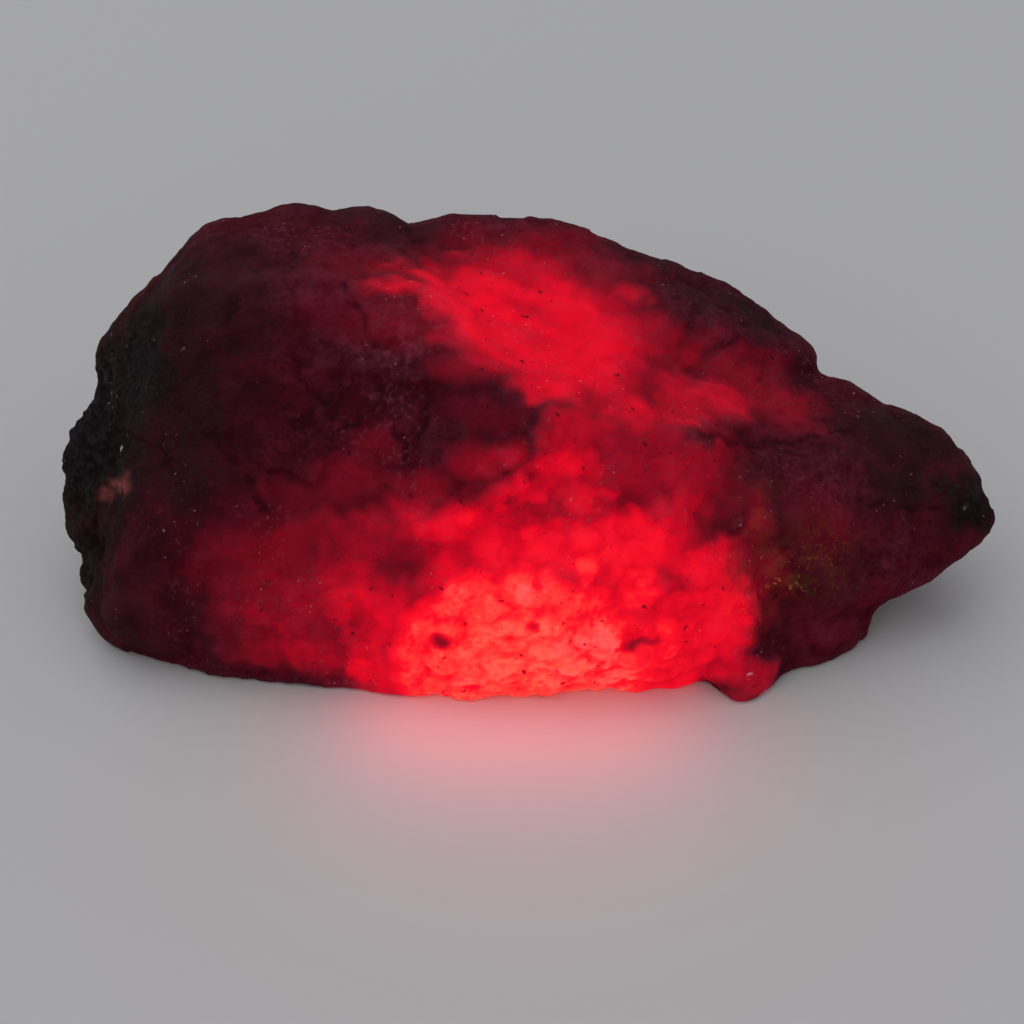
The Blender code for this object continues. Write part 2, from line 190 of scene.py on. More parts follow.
# What still comes through the shoulder: the streak across its top, and the lumps at its foot.
SHOULDER_GLOWS = (
    ((-9.0, -1.6, 26.3), (4.2, 1.2, 2.5), 0.70, 2),
    ((-6.2, 0.6, 25.2), (3.4, 2.6, 2.5), 0.74, 2.5),
    ((-9.0, 1.2, 26.2), (5.0, 2.2, 2.5), 0.50, 2.5),
    ((-10.0, 1.0, 26.2), (9.0, 4.5, 3.5), 0.38, 2),
    ((-9.0, -4.2, 25.2), (6.5, 3.5, 3.0), 0.37, 2.5),
    ((-14.0, -3.0, 25.5), (6.5, 3.2, 3.0), 0.29, 3),
    ((-12.0, 5.5, 26.0), (7.0, 3.5, 3.0), 0.24, 3),
    ((-3.4, -13.2, 18.6), (2.6, 2.6, 1.8), 0.53, 3),
    ((-7.6, -14.2, 17.0), (3.8, 2.6, 1.8), 0.46, 3),
    ((-12.5, -12.8, 16.6), (5.0, 2.6, 2.2), 0.39, 3),
    ((-8.6, -15.2, 15.4), (2.6, 2.4, 1.6), 0.64, 3),
    ((-11.0, -11.2, 18.8), (2.6, 2.2, 1.4), 0.36, 3),
    ((-4.8, -7.4, 23.2), (3.0, 1.9, 1.6), 0.42, 3),
    ((-1.2, -13.2, 19.2), (2.2, 2.2, 1.2), 0.60, 3),
    ((-2.6, -10.6, 21.0), (4.4, 2.4, 1.5), 0.30, 4),
    ((-17.5, -13.0, 15.0), (4.5, 2.6, 2.0), 0.35, 3),
)
# How two glows that meet add up: a higher number adds less.
GLOW_JOIN = 8
# A dim painted red glow, everywhere.
DIM_PAINTED_GLOW = 0.12
# How much of the light the thick shoulder stops, and how much a crack or a vein does.
SHOULDER_LOSS = 0.72
CRACK_LOSS = 0.25
VEIN_LOSS = 0.06

# Places that stay dark inside the glow: centre, reach and how much light is lost.
SHADES = (
    ((-2.5, -2.6, 23.1), (3.0, 2.0, 2.0), 0.06),
    ((0.8, -14.2, 17.0), (1.6, 2.5, 0.7), 0.12),
    ((-9.2, -16.8, 11.3), (1.8, 2.5, 0.9), 0.30),
    ((-8.0, -17.4, 10.0), (1.2, 2.0, 0.5), 0.10),
    ((6.0, -14.6, 15.8), (2.6, 2.5, 0.5), 0.12),
    ((12.6, -9.9, 18.3), (1.5, 1.2, 0.7), 0.5),
    ((18.2, -8.4, 16.0), (3.0, 0.9, 0.7), 0.2),
    ((17.8, -16.4, 4.8), (0.9, 3.0, 1.8), 0.15),
    ((-20.0, -17.0, 0.4), (7.0, 4.0, 1.2), 0.4),
    ((0.3, -19.5, 7.6), (0.4, 1.0, 0.3), 0.25),
    ((-6.8, -18.0, 6.0), (0.8, 2.0, 0.4), 0.5),
    ((8.3, -18.5, 6.5), (1.2, 2.0, 0.3), 0.5),
)

# Colours that lie on the stone, and the places of a painted sheen: centre, reach to half strength, strength,
# and hardness of the edge.
BLACK_CRUST = (
    ((-36.0, -2.0, 14.0), (10.0, 12.0, 10.0), 1.0, 4),
    ((-35.0, -8.0, 6.0), (5.0, 5.0, 6.0), 0.9, 3),
    ((-29.5, -2.5, 19.5), (4.6, 6.0, 6.5), 0.95, 4),
    ((-26.0, 1.5, 24.0), (4.5, 5.0, 3.2), 0.7, 3),
    ((-25.5, -6.0, 18.5), (4.5, 4.5, 5.0), 0.7, 2.5),
    ((-23.5, -1.0, 24.5), (4.5, 5.0, 3.5), 0.65, 2),
    ((-26.5, -9.0, 14.5), (3.5, 3.5, 3.0), 0.5, 2),
    ((30.0, -7.2, 12.0), (5.5, 2.6, 1.3), 0.7, 2),
    ((34.6, -6.6, 10.4), (3.8, 3.4, 2.4), 0.95, 4),
    ((-26.5, -3.5, 22.5), (4.2, 4.2, 4.5), 0.75, 3),
    ((-26.5, -9.5, 15.5), (4.0, 4.0, 4.0), 0.6, 3),
    ((-31.5, -12.5, 4.0), (4.0, 4.5, 5.0), 0.5, 2),
    ((29.5, -2.5, 13.5), (5.0, 3.0, 2.2), 0.75, 2),
    ((18.0, 5.5, 19.0), (9.0, 2.0, 2.5), 0.6, 2),
    ((0.0, 15.0, 20.0), (16.0, 3.0, 4.0), 0.4, 2),
    ((9.0, 9.6, 22.0), (5.5, 1.8, 2.0), 0.6, 2),
    ((-11.0, 8.5, 26.0), (3.5, 2.2, 2.0), 0.6, 2),
)
RUST = (
    ((19.5, -13.8, 9.0), (3.6, 3.5, 2.6), 0.9, 2),
    ((17.2, -12.5, 12.4), (1.6, 3.0, 3.0), 0.6, 2),
    ((27.0, 9.0, 8.0), (6.0, 4.0, 4.0), 0.5, 2),
    ((-24.0, 10.0, 14.0), (5.0, 4.0, 5.0), 0.4, 2),
)
GOLD = (
    ((19.2, -14.5, 7.8), (1.3, 1.5, 0.45), 1.8, 2),
    ((18.6, -14.4, 7.6), (1.8, 2.0, 0.7), 0.7, 2),
    ((21.0, -13.4, 9.4), (2.0, 2.2, 1.3), 0.35, 2),
)
# Where a purplish sheen is painted on: a painted reflection of the pale room.
PAINTED_SHEEN_PLACES = (
    ((-18.5, -2.2, 26.2), (6.5, 1.5, 1.2), 0.9, 2),
    ((-11.0, -6.0, 23.5), (5.5, 1.7, 1.1), 0.9, 2),
    ((-8.5, -3.4, 25.2), (4.5, 2.6, 1.6), 0.6, 2),
    ((-12.0, 5.0, 26.0), (6.0, 3.0, 2.0), 0.4, 2),
    ((23.5, -8.5, 14.5), (4.5, 3.0, 2.4), 0.6, 2),
    ((27.0, -12.0, 7.6), (4.5, 3.0, 3.0), 0.5, 2),
    ((23.5, -14.5, 3.0), (4.0, 3.0, 2.5), 0.5, 2),
    ((-26.0, -17.0, 3.0), (5.0, 4.0, 3.0), 0.3, 2),
    ((14.0, 3.5, 20.5), (7.0, 2.5, 2.5), 0.5, 2),
)
# The path of the pinkish fresh break in the left end's crust.
PINK_BREAK = ((-32.4, -6.1, 10.2), (-31.3, -6.9, 11.5), (-30.2, -8.0, 12.7))
PINK_BREAK_WIDTH = 1.1
# Small crystal faces that catch the light, with the glint painted on in near-white: centre and reach.
GLINTS = (
    ((-30.9, -5.1, 13.8), 0.28), ((-27.3, -7.6, 15.6), 0.22), ((-33.5, -9.5, 7.5), 0.35),
    ((33.6, -7.4, 9.9), 0.2), ((34.6, -6.6, 9.2), 0.2), ((33.0, -5.0, 12.2), 0.2),
    ((17.0, -18.2, 2.2), 0.3), ((6.0, -18.6, 1.0), 0.8), ((27.0, -8.0, 11.5), 0.25),
)

# How many rounds of smoothing tell a grain that stands out from the crease beside it.
PROUD_ROUNDS = 14

# Cracks and the edges of broken blocks, on the shoulder and the nose.
CRACKS = (
    (
        (-17.4, -5.2, 22.9), (-17.0, -6.2, 22.2), (-16.2, -7.5, 21.0), (-14.8, -8.6, 20.6),
        (-14.3, -9.5, 20.0),
    ),
    ((-7.3, -8.2, 22.2), (-7.2, -9.5, 21.6), (-7.4, -11.0, 20.8), (-7.8, -12.3, 19.4)),
    (
        (-15.2, -10.5, 18.6), (-13.4, -10.2, 19.5), (-11.0, -10.4, 20.2), (-9.2, -11.4, 19.8),
        (-8.8, -12.8, 18.5),
    ),
    ((-24.0, -8.0, 17.5), (-21.0, -10.5, 15.6), (-19.5, -12.5, 13.6)),
    ((-13.8, -1.6, 26.4), (-12.2, -3.6, 25.4), (-11.2, -5.6, 23.8)),
    ((12.9, -9.8, 18.7), (15.0, -8.7, 17.4), (17.6, -8.1, 16.2), (20.8, -6.3, 15.5), (24.8, -4.2, 14.8)),
    ((25.0, -10.0, 12.7), (28.0, -9.4, 11.6), (31.0, -8.8, 10.7), (33.4, -7.6, 10.2)),
)
CRACK_WIDTH = 0.5
CRACK_DEPTH = 0.2
# Worn edges that stand up from the shoulder.
RIDGES = (
    ((-24.2, -0.4, 25.9), (-21.8, -1.6, 26.3), (-19.6, -1.2, 26.7), (-16.9, -0.9, 26.8), (-14.3, -1.0, 26.8)),
    ((-15.3, -6.1, 22.6), (-13.1, -6.7, 22.6), (-10.5, -7.3, 22.5), (-7.5, -8.2, 22.4)),
)
RIDGE_WIDTH = 1.1
RIDGE_HEIGHT = 0.28

# Growth lines on the crown: the way they run, and their length and width.
GROWTH_RUN = Vector((0.93, -0.25, -0.27))
GROWTH_LENGTH = 7.0
GROWTH_WIDTH = 0.9

# Lamplight that the belly throws on the paper.
SPILL_PLACE = (-0.5, -21.0, 6.0)
SPILL_WIDTH = 24.0
SPILL_HEIGHT = 8.0
SPILL_TILT = radians(-35)
SPILL_COLOUR = (1.0, 0.1, 0.15)
SPILL_POWER = 0.00095

# The floor lies just under the stone, so that the two don't share a plane. Its size is in metres.
FLOOR_DROP = 0.05
FLOOR_SIZE = 4
ROOM_COLOUR = (0.95, 0.96, 1.0, 1)
ROOM_STRENGTH = 0.36


def at(place):
    return Vector(place) * MM


# ---------------------------------------------------------------- fields over the skin's points

def smoothstep(low, high, x):
    share = np.clip((x - low) / (high - low), 0, 1)
    return share * share * (3 - 2 * share)


def mix(a, b, share):
    return a + (b - a) * share


def lumps_of(points, size, seed=0.0):
    """Smooth noise, about -0.7 to 0.7, with features of this size."""
    return np.array([noise.noise(Vector(p / size + seed)) for p in points])


def streaks_of(points, length, width, seed=0.0):
    """Smooth noise drawn out along the crown's growth lines."""
    run = np.array(GROWTH_RUN.normalized())
    along = (points @ run)[:, None] * run
    return lumps_of(along / length + (points - along) / width, 1.0, seed)


def stack(points, spots):
    """The strongest of these patches at each point."""
    return np.max([patch(points, *spot) for spot in spots], axis=0)


def cells(points, size, seed=0.0):
    """Grains of this size: their middles, a random number each, and the share of the way in from the edge."""
    middles = np.empty_like(points)
    inside = np.empty(len(points))
    pick = np.empty(len(points))
    for i, p in enumerate(points):
        distances, centres = noise.voronoi(Vector(p / size + seed))
        middles[i] = centres[0]
        inside[i] = distances[1] - distances[0]
        pick[i] = noise.cell_vector(centres[0] * 7.3).x
    return (middles - seed) * size, pick, inside


def zone(points, centre, reach, softness=0.5):
    """1 inside this ellipsoid, falling to 0 over the outer part of its reach."""
    away = np.linalg.norm((points - centre) / reach, axis=1)
    return 1 - smoothstep(1 - softness, 1, away)


def patch(points, centre, reach, strength, hardness):
    """This strength at the centre, half of it at the reach: softly or, with more hardness, at an edge."""
    away = np.linalg.norm((points - centre) / reach, axis=1)
    return strength * 0.5 ** (away ** hardness)


def side_of_ledge(points):
    """How far each point lies right of the shoulder's edge, seen from above, in millimetres."""
    line = np.array(LEDGE)
    best = np.full(len(points), 1e9)
    side = np.zeros(len(points))
    for start, end in zip(line[:-1], line[1:]):
        along = end - start
        off = points[:, :2] - start
        share = np.clip(off @ along / (along @ along), 0, 1)
        away = np.linalg.norm(off - share[:, None] * along, axis=1)
        left = along[0] * off[:, 1] - along[1] * off[:, 0]
        nearer = away < best
        best[nearer] = away[nearer]
        side[nearer] = np.sign(left[nearer])
    return best * side


def near_path(points, path, width):
    """1 on this path through the stone's surface, falling to 0 this far from it."""
    best = np.full(len(points), 1e9)
    stops = np.array(path)
    for start, end in zip(stops[:-1], stops[1:]):
        along = end - start
        share = np.clip((points - start) @ along / (along @ along), 0, 1)
        best = np.minimum(best, np.linalg.norm(points - start - share[:, None] * along, axis=1))
    return 1 - smoothstep(0, width, best)


# ---------------------------------------------------------------- the skin

def bake_modifiers(obj):
    graph = bpy.context.evaluated_depsgraph_get()
    obj.data = bpy.data.meshes.new_from_object(obj.evaluated_get(graph))
    obj.modifiers.clear()


def fine_copy(solid, name):
    """A copy of the solid with small even faces, its facets smoothed away."""
    skin = bpy.data.objects.new(name, solid.data.copy())
    bpy.context.scene.collection.objects.link(skin)
    bm = bmesh.new()
    bm.from_mesh(skin.data)
    bmesh.ops.remove_doubles(bm, verts=bm.verts, dist=1e-6)
    bm.to_mesh(skin.data)
    bm.free()
    fine = skin.modifiers.new("Fine", "REMESH")
    fine.mode = "VOXEL"
    fine.voxel_size = SKIN_VOXEL * MM
    smooth = skin.modifiers.new("Smooth", "SMOOTH")
    smooth.iterations = SKIN_SMOOTHING
    bake_modifiers(skin)
    return skin


def height_above_mean(mesh, points, normals, rounds):
    """How far each point stands out of the surface around it, by comparing it with a smoothed copy."""
    ends = np.empty(len(mesh.edges) * 2, "i4")
    mesh.edges.foreach_get("vertices", ends)
    a, b = ends.reshape(-1, 2).T
    around = np.bincount(ends, minlength=len(points))
    smooth = points.copy()
    for _ in range(rounds):
        total = np.stack([
            np.bincount(a, smooth[b, axis], len(points)) + np.bincount(b, smooth[a, axis], len(points))
            for axis in range(3)
        ], axis=1)
        smooth = total / around[:, None]
    return np.einsum("ij,ij->i", points - smooth, normals)


def read_points(mesh):
    points = np.empty(len(mesh.vertices) * 3, "f4")
    mesh.vertices.foreach_get("co", points)
    normals = np.empty(len(mesh.vertices) * 3, "f4")
    mesh.vertex_normals.foreach_get("vector", normals)
    return points.reshape(-1, 3).astype(float) / MM, normals.reshape(-1, 3).astype(float)


def write_points(mesh, points):
    mesh.vertices.foreach_set("co", (points * MM).astype("f4").ravel())
    mesh.update()


def write_field(mesh, name, values):
    field = mesh.attributes.new(name, "FLOAT", "POINT")
    field.data.foreach_set("value", values.astype("f4"))


class Surface:
    """The skin's points, with the zones and grains that the relief and the glow share."""

    def __init__(self, points):
        self.points = points
        self.slope = zone(points, *SLOPE)
        self.pitted = np.maximum(zone(points, *LEFT_PITS), 0.4 * zone(points, *NOSE_PITS))
        sugary = np.maximum(zone(points, *BELLY), zone(points, *BAND))
        self.clotted = np.maximum(zone(points, *FOOT), zone(points, *LUMPS_UNDER_LEDGE)) * (1 - sugary)
        self.grainy = np.maximum(sugary, 0.7 * self.clotted) * (1 - self.slope)
        self.warp = np.stack([lumps_of(points, WARP_SIZE, seed) for seed in (11.0, 17.0, 23.0)], axis=1)
        self.fine_warp = np.stack(
            [lumps_of(points, FINE_WARP_SIZE, seed) for seed in (31.0, 37.0, 43.0)], axis=1
        )
        uneven = self.moved(0.0, 0.5)
        self.middles, self.pick, inside = cells(uneven, GRAIN_SIZE)
        self.fine_middles, self.fine_pick, fine_inside = cells(uneven, FINE_GRAIN_SIZE, seed=5.0)
        self.dome = np.clip(inside * 1.6, 0, 1) ** 0.6
        self.fine_dome = np.clip(fine_inside * 1.6, 0, 1) ** 0.7
        self.cracks = np.max([near_path(uneven, path, CRACK_WIDTH) for path in CRACKS], axis=0)
        self.ridges = np.max([near_path(uneven, path, RIDGE_WIDTH) for path in RIDGES], axis=0)

    def moved(self, coarse, fine):
        """The points, moved this far by the coarse and the fine warp, which makes drawn edges ragged."""
        return self.points + coarse * self.warp + fine * self.fine_warp


def grains_height(stone):
    grains = GRAIN_HEIGHT * (stone.dome - MEAN_DOME) + FINE_GRAIN_HEIGHT * (stone.fine_dome - MEAN_DOME)
    return stone.grainy * grains


def chips_height(points, size, seed):
    """Small flat breaks, each tilted its own way, with low steps between them."""
    middles, pick, _ = cells(points, size, seed)
    # noise this fine differs from one middle to the next, so that each chip has a tilt of its own
    tilt = np.stack([lumps_of(middles, 0.37, seed + shift) for shift in (1.0, 2.0, 3.0)], axis=1)
    return np.einsum("ij,ij->i", tilt, points - middles) + CHIP_STEP * (pick - 0.5)


def fracture_height(stone):
    """Shallow shells and hollows where the stone broke, with ridges, cracks and growth lines."""
    points = stone.points
    rough = (1 - stone.grainy) * (1 - 0.8 * stone.slope)
    warped = stone.moved(1.2, 0.3)
    chips = CHIP_HEIGHT * (chips_height(warped, 4.2, seed=50.0) + chips_height(warped, 1.7, seed=60.0))
    broken = BROKEN_RIDGE_HEIGHT * (0.25 - np.abs(lumps_of(warped, 5.0, seed=7.0)))
    swell = SWELL_HEIGHT * lumps_of(points, 1.5) + FINE_SWELL_HEIGHT * lumps_of(points, 0.8, seed=3.0)
    lines = GROWTH_HEIGHT * streaks_of(points, GROWTH_LENGTH, GROWTH_WIDTH) * (1 - stone.grainy)
    worked = RIDGE_HEIGHT * stone.ridges - CRACK_DEPTH * stone.cracks
    return rough * (chips + broken) + swell + lines + worked


def crust_height(stone):
    """Pits and knobs in the black crust of both ends."""
    points = stone.moved(0.0, 0.4)
    pits = PIT_DEPTH * np.abs(lumps_of(points, 2.6, seed=9.0))
    pits += FINE_PIT_DEPTH * np.abs(lumps_of(points, 1.1, seed=2.0))
    return stone.pitted * (CRUST_LIFT - pits)


def light_through(stone):
    """Painted lamplight through the stone's body: glowing patches, cut by the thick shoulder and dark places.
    """
    loose = (1 - 0.5 * stone.slope)[:, None]
    ragged = stone.points + (1.3 * stone.warp + 0.8 * stone.fine_warp) * loose
    ragged = mix(ragged, stone.middles, (0.3 * stone.grainy)[:, None])
    ragged = mix(ragged, stone.fine_middles, (0.25 * stone.grainy)[:, None])
    glow = sum(patch(ragged, *spot) ** GLOW_JOIN for spot in GLOWS) ** (1 / GLOW_JOIN)
    nearby = stone.moved(0.7, 0.5)
    thick = 1 - smoothstep(-LEDGE_SOFTNESS, LEDGE_SOFTNESS, side_of_ledge(nearby))
    thick *= smoothstep(*LEDGE_BOTTOM, nearby[:, 2])
    glow *= 1 - SHOULDER_LOSS * thick
    glow = np.maximum(glow, stack(nearby, SHOULDER_GLOWS + BELLY_GLOWS))
    for centre, reach, loss in SHADES:
        glow *= 1 - patch(nearby, centre, reach, loss, 3)
    return glow


def unevenness(stone, proud):
    """How grains, growth lines, creases, veins and cracks change the light, as a factor."""
    points = stone.points
    factor = mix(1.0, 0.9 + 0.2 * stone.pick, stone.clotted)
    factor *= mix(1.0, 0.98 + 0.03 * stone.pick, stone.grainy)
    factor *= mix(1.0, 0.985 + 0.02 * stone.fine_pick, stone.grainy)
    # the middle of each grain glows a little more: painted shading of the grain
    factor *= mix(1.0, 0.98 + 0.02 * stone.dome, stone.grainy)
    factor *= 1 + 0.08 * streaks_of(points, 5.0, 1.3, seed=4.0) * (1 - stone.grainy)
    # creases glow less and raised grains more: painted shade and light on the glow
    factor *= 1 + np.clip(0.4 * proud, -0.06, 0.03)
    veins = smoothstep(0.05, 0.0, np.abs(lumps_of(points + stone.warp, 3.0, seed=70.0)))
    factor *= 1 - VEIN_LOSS * veins
    return factor * (1 - CRACK_LOSS * stone.cracks)


def glow_of(stone, proud):
    """How strongly the painted glow shines at each point, from a dim glow everywhere to about 1."""
    dim_painted_glow = DIM_PAINTED_GLOW * (1 + 0.6 * lumps_of(stone.points + stone.warp, 2.5, seed=80.0))
    return np.maximum(light_through(stone) * unevenness(stone, proud), dim_painted_glow)


def glints_of(points):
    """1 on the small crystal faces that get a painted glint."""
    return np.max([zone(points, centre, reach, 0.6) for centre, reach in GLINTS], axis=0)


def write_fields(mesh, stone, proud):
    """What the material reads at each point of the skin."""
    ragged = stone.moved(1.5, 1.0)
    black = stack(ragged, BLACK_CRUST)
    write_field(mesh, "glow", np.clip(glow_of(stone, proud) * (1 - black), 0, 1.1))
    write_field(mesh, "black", black)
    # a crack counts as a deep crease, and gets the painted crease shade
    write_field(mesh, "proud", proud - 0.10 * stone.cracks)
    write_field(mesh, "rust", stack(ragged, RUST))
    write_field(mesh, "gold", stack(ragged, GOLD))
    write_field(mesh, "purple", stack(ragged, PAINTED_SHEEN_PLACES))
    write_field(mesh, "fresh", near_path(stone.moved(0.0, 0.5), PINK_BREAK, PINK_BREAK_WIDTH))
    write_field(mesh, "glint", glints_of(stone.points))


def dress(solid):
    """The stone's skin, which takes the place of the plain solid."""
    skin = fine_copy(solid, "ruby_skin")
    mesh = skin.data
    points, normals = read_points(mesh)
    stone = Surface(points)
    height = SKIN_GROWTH + grains_height(stone) + fracture_height(stone) + crust_height(stone)
    low, high = (np.array(corner) / MM for corner in CAD_BOX)
    moved = np.clip(points + normals * height[:, None], low, high)
    write_points(mesh, moved)
    write_fields(mesh, stone, height_above_mean(mesh, moved, normals, PROUD_ROUNDS))
    mesh.shade_smooth()
    mesh.materials.clear()
    mesh.materials.append(ruby())
    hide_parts("ruby_crystal")
    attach(skin, "root")


# ---------------------------------------------------------------- materials

class Nodes:
    """One material's node tree, with short ways to make and join its nodes."""

    def __init__(self, name):
        self.material = bpy.data.materials.new(name)
        self.material.use_nodes = True
        self.tree = self.material.node_tree
        self.shader = self.tree.nodes["Principled BSDF"]

    def add(self, kind, settings=(), **inputs):
        """A node of this kind; an input is a value or another node's output."""
        node = self.tree.nodes.new("ShaderNode" + kind)
        for key, value in dict(settings).items():
            setattr(node, key, value)
        for key, value in inputs.items():
            self.feed(node, key.replace("_", " "), value)
        return node

    def feed(self, node, key, value):
        """Set or join an input, named or numbered: "#1" is the second."""
        socket = node.inputs[int(key[1:]) if key[0] == "#" else key]
        if isinstance(value, bpy.types.NodeSocket):
            self.tree.links.new(value, socket)
        else:
            socket.default_value = value

    def math(self, operation, a, b):
        node = self.add("Math", {"operation": operation})
        self.feed(node, "#0", a)
        self.feed(node, "#1", b)
        return node.outputs[0]

    def product(self, a, b):
        return self.math("MULTIPLY", a, b)

    def field(self, name):
        """A field that was written on the skin's points."""
        return self.add("Attribute", {"attribute_name": name}).outputs["Fac"]

    def spread(self, value, low, high):
        """0 at low, 1 at high, and straight between them. Low may be the greater."""
        node = self.add("MapRange", {"clamp": True}, Value=value, From_Min=low, From_Max=high)
        return node.outputs["Result"]

    def blend(self, share, a, b):
        """Colour a, with this share of colour b over it."""
        node = self.add("Mix", {"data_type": "RGBA"})
        for socket, value in ((0, share), (6, a), (7, b)):
            self.feed(node, f"#{socket}", value)
        return node.outputs[2]

    def ramp(self, value, stops):
        node = self.add("ValToRGB", Fac=value)
        elements = node.color_ramp.elements
        while len(elements) < len(stops):
            elements.new(1.0)
        for element, (place, colour) in zip(elements, stops):
            element.position = place
            element.color = colour
        return node.outputs["Color"]

    def noise(self, place, size, detail=3.0):
        node = self.add("TexNoise", Vector=place, Scale=1 / size, Detail=detail)
        return node.outputs["Fac"]

    def spots(self, place, size, low, high, detail=3.0):
        """Ragged spots about this size: 0 where the noise is at low, 1 where it is at high."""
        return self.spread(self.noise(place, size, detail), low, high)

    def shaken(self, place, reach):
        """These coordinates, moved about by noise on the scale of a quarter of a millimetre."""
        tremor = self.add("TexNoise", Vector=place, Scale=4.0).outputs["Color"]
        node = self.add("VectorMath", {"operation": "MULTIPLY_ADD"}, Vector=tremor)
        self.feed(node, "#1", (reach, reach, reach))
        self.feed(node, "#2", place)
        return node.outputs["Vector"]

    def dots(self, place, spacing, radius, share):
        """1 in scattered round dots: one in every cell of this spacing, of which this share is kept."""
        node = self.add("TexVoronoi", Vector=place, Scale=1 / spacing)
        near = self.spread(node.outputs["Distance"], radius / spacing, 0.4 * radius / spacing)
        draw = self.add("SeparateColor", Color=node.outputs["Color"]).outputs["Red"]
        return self.product(near, self.math("LESS_THAN", draw, share))


def rgb(*levels):
    return (*levels, 1.0)


def grey(level):
    return rgb(level, level, level)


# The stone's own colours, with a painted sheen, painted crease shade and painted glints among them.
DARK_STONE = rgb(0.025, 0.001, 0.003)
RED_STONE = rgb(0.07, 0.003, 0.010)
# A lighter tone on the upward faces, partly dirt and partly a painted sheen from above.
DUST_AND_SHEEN = rgb(0.09, 0.016, 0.03)
# A painted reflection of the pale room, as a purplish sheen.
PURPLE_SHEEN = rgb(0.12, 0.024, 0.044)
MOTTLE = rgb(0.012, 0.001, 0.002)
IRON_STAIN = rgb(0.06, 0.026, 0.006)
GOLD_FLECK = rgb(0.45, 0.18, 0.05)
POWDER = rgb(0.16, 0.045, 0.06)
# A lighter tone on the raised places.
LIGHTER_RAISED = rgb(0.13, 0.025, 0.04)
# Painted shade in the creases and cracks.
PAINTED_CREASE_SHADE = rgb(0.006, 0.0007, 0.0015)
CRUMB = rgb(0.32, 0.14, 0.16)
SPECK = rgb(0.02, 0.002, 0.003)
FRESH_PINK = rgb(0.36, 0.085, 0.08)
# A painted glint: near-white colour on the small crystal faces, whose low roughness is real.
PAINTED_GLINT = rgb(0.8, 0.7, 0.7)
SOOT = (
    (0.4, rgb(0.003, 0.002, 0.002)),
    (0.7, rgb(0.017, 0.013, 0.0135)),
)
PAPER = rgb(0.62, 0.618, 0.622)

# The painted glow's light, as emission, from no glow to full glow, and its pinker kind.
PINKISH_LIGHT = rgb(1.0, 0.105, 0.11)
EMISSION = (
    (0.0, rgb(0, 0, 0)),
    (0.2, rgb(0.02, 0, 0.002)),
    (0.35, rgb(0.08, 0.001, 0.005)),
    (0.5, rgb(0.2, 0.001, 0.008)),
    (0.65, rgb(0.42, 0.001, 0.012)),
    (0.78, rgb(0.72, 0.001, 0.014)),
    (0.88, rgb(0.97, 0.004, 0.018)),
    (0.95, rgb(1.0, 0.04, 0.034)),
    (1.0, rgb(1.0, 0.105, 0.068)),
)


# How much the glow flickers from speck to speck, and how much less it does where it is bright.
FLICKER = 0.34
FLICKER_LOST = 0.2
# How much of the light a dark speck stops.
SPECK_LOSS = 0.35
# Roughness of the stone, which varies between two levels, of its crust and of its glinting faces.
ROUGH = (0.7, 0.95)
CRUST_ROUGH = 0.6
FACE_ROUGH = 0.15
SPECULAR = 0.08
BUMP_HEIGHT = 0.18


def light_colour(n, place, fine, specks):
    """The painted glow, flickering and specked, as light: deep red to orange, and pinker in places."""
    through = n.field("glow")
    calm = n.math("SUBTRACT", FLICKER, n.product(n.spread(through, 0.5, 0.8), FLICKER_LOST))
    flicker = n.product(n.math("SUBTRACT", fine, 0.5), calm)
    glow = n.product(through, n.math("ADD", flicker, 1.0))
    glow = n.product(glow, n.math("SUBTRACT", 1.0, n.product(specks, SPECK_LOSS)))
    pinkish = n.product(n.spread(glow, 0.9, 1.0), n.spots(place, 3.5, 0.56, 0.7, detail=2.0))
    return n.blend(pinkish, n.ramp(glow, EMISSION), PINKISH_LIGHT)


def stone_colour(n, place, fine, specks, glint):
    """The stone's colour in layers, from the red stone up to the painted glints."""
    up = n.add("SeparateXYZ", Vector=n.add("NewGeometry").outputs["Normal"]).outputs["Z"]
    proud = n.field("proud")
    # lighter on the faces that look up: partly dirt, partly a painted sheen from above
    dust_and_sheen = n.product(n.spread(up, 0.3, 1.0), n.spots(place, 3.5, 0.42, 0.7, detail=4.0))
    dusty = n.spots(place, 6.0, 0.45, 0.6)
    crumbs = n.dots(n.shaken(place, 0.4), spacing=0.8, radius=0.11, share=0.5)
    layers = (
        (n.spots(place, 2.6, 0.38, 0.62, detail=5.0), RED_STONE),
        (n.product(dust_and_sheen, 0.5), DUST_AND_SHEEN),
        # the purplish sheen is a painted reflection
        (n.product(n.field("purple"), n.spots(place, 1.5, 0.3, 0.65, detail=4.0)), PURPLE_SHEEN),
        (n.product(n.spread(fine, 0.5, 0.62), 0.6), MOTTLE),
        (n.product(n.field("rust"), n.spots(place, 0.9, 0.42, 0.56, detail=5.0)), IRON_STAIN),
        (n.product(n.field("gold"), n.spots(place, 0.35, 0.58, 0.68, detail=2.0)), GOLD_FLECK),
        (n.product(n.spread(fine, 0.43, 0.33), n.product(dusty, 0.45)), POWDER),
        # raised places are made lighter
        (n.product(n.spread(proud, 0.05, 0.25), 0.3), LIGHTER_RAISED),
        (n.field("black"), n.ramp(fine, SOOT)),
        # painted shade in the creases
        (n.product(n.spread(proud, 0.0, -0.16), 0.7), PAINTED_CREASE_SHADE),
        (n.product(crumbs, dusty), CRUMB),
        (specks, SPECK),
        (n.product(n.field("fresh"), n.spots(place, 1.3, 0.3, 0.6, detail=4.0)), FRESH_PINK),
        # the painted glint
        (glint, PAINTED_GLINT),
    )
    colour = DARK_STONE
    for share, paint in layers:
        colour = n.blend(share, colour, paint)
    return colour


def roughness(n, place, glint):
    low, high = ROUGH
    rough = n.blend(n.noise(place, 1.8), grey(low), grey(high))
    rough = n.blend(n.field("black"), rough, grey(CRUST_ROUGH))
    rough = n.blend(glint, rough, grey(FACE_ROUGH))
    return n.add("SeparateColor", Color=rough).outputs["Red"]


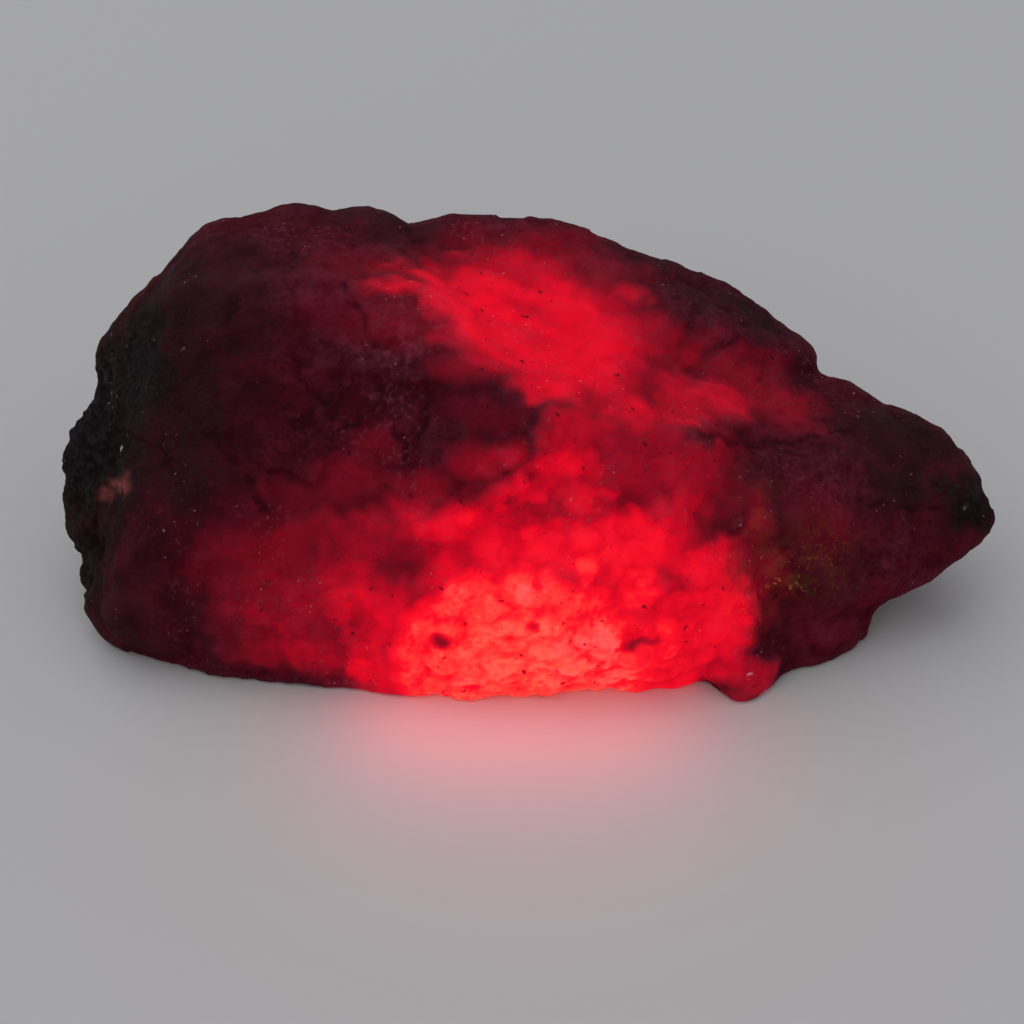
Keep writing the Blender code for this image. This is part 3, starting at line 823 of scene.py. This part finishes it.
def ruby():
    n = Nodes("Raw ruby")
    coordinates = n.add("TexCoord").outputs["Object"]
    place = n.add("VectorMath", {"operation": "SCALE"}, Vector=coordinates, Scale=1 / MM).outputs["Vector"]
    fine = n.noise(place, 0.45, 4.0)
    specks = n.spots(place, 0.75, 0.29, 0.2, detail=1.0)
    glint = n.product(n.field("glint"), n.spots(place, 0.3, 0.5, 0.56, detail=2.0))
    # the painted glow, as emission
    n.feed(n.shader, "Emission Color", light_colour(n, place, fine, specks))
    n.shader.inputs["Emission Strength"].default_value = 1.0
    n.feed(n.shader, "Base Color", stone_colour(n, place, fine, specks, glint))
    n.feed(n.shader, "Roughness", roughness(n, place, glint))
    n.shader.inputs["Specular IOR Level"].default_value = SPECULAR
    bump = n.add("Bump", Strength=1.0, Distance=BUMP_HEIGHT * MM, Height=fine)
    n.feed(n.shader, "Normal", bump.outputs["Normal"])
    return n.material


def paper():
    n = Nodes("Paper")
    n.shader.inputs["Base Color"].default_value = PAPER
    n.shader.inputs["Roughness"].default_value = 0.9
    return n.material


# ---------------------------------------------------------------- the stage

def add_floor():
    bpy.ops.mesh.primitive_plane_add(size=FLOOR_SIZE, location=at((0, 0, -FLOOR_DROP)))
    floor = bpy.context.object
    floor.name = "floor"
    floor.data.materials.append(paper())


def add_light(name, place, size, power):
    """A square soft light that points at the stone. Its place and size are in metres."""
    lamp = bpy.data.lights.new(name, "AREA")
    lamp.size = size
    lamp.energy = power
    obj = bpy.data.objects.new(name, lamp)
    obj.location = place
    obj.rotation_euler = (-Vector(place)).to_track_quat("-Z", "Y").to_euler()
    bpy.context.scene.collection.objects.link(obj)


def add_spill():
    """Lamplight that the belly throws on the paper in front of it."""
    lamp = bpy.data.lights.new("spill", "AREA")
    lamp.shape = "RECTANGLE"
    lamp.size = SPILL_WIDTH * MM
    lamp.size_y = SPILL_HEIGHT * MM
    lamp.color = SPILL_COLOUR
    lamp.energy = SPILL_POWER
    obj = bpy.data.objects.new("spill", lamp)
    obj.location = at(SPILL_PLACE)
    obj.rotation_euler = (SPILL_TILT, 0, 0)
    obj.visible_camera = False
    bpy.context.scene.collection.objects.link(obj)


def add_camera():
    back = Vector((0, -cos(CAMERA_ELEVATION), sin(CAMERA_ELEVATION)))
    data = bpy.data.cameras.new("camera")
    data.lens = CAMERA_LENS
    data.sensor_width = 36
    data.clip_start = 0.01
    camera = bpy.data.objects.new("camera", data)
    camera.location = at(CAMERA_TARGET) + back * CAMERA_DISTANCE * MM
    camera.rotation_euler = (-back).to_track_quat("-Z", "Y").to_euler()
    bpy.context.scene.collection.objects.link(camera)
    bpy.context.scene.camera = camera


def light_room():
    world = bpy.data.worlds.new("room")
    bpy.context.scene.world = world
    world.use_nodes = True
    sky = world.node_tree.nodes["Background"]
    sky.inputs["Color"].default_value = ROOM_COLOUR
    sky.inputs["Strength"].default_value = ROOM_STRENGTH
    add_light("key", place=(-0.3, 0.3, 1.0), size=1.5, power=3.9)
    add_light("fill", place=(-0.3, -0.6, 0.7), size=0.8, power=0.9)


dress(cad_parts["ruby_crystal"])
add_floor()
light_room()
add_spill()
add_camera()
bpy.context.scene.view_settings.view_transform = "Standard"
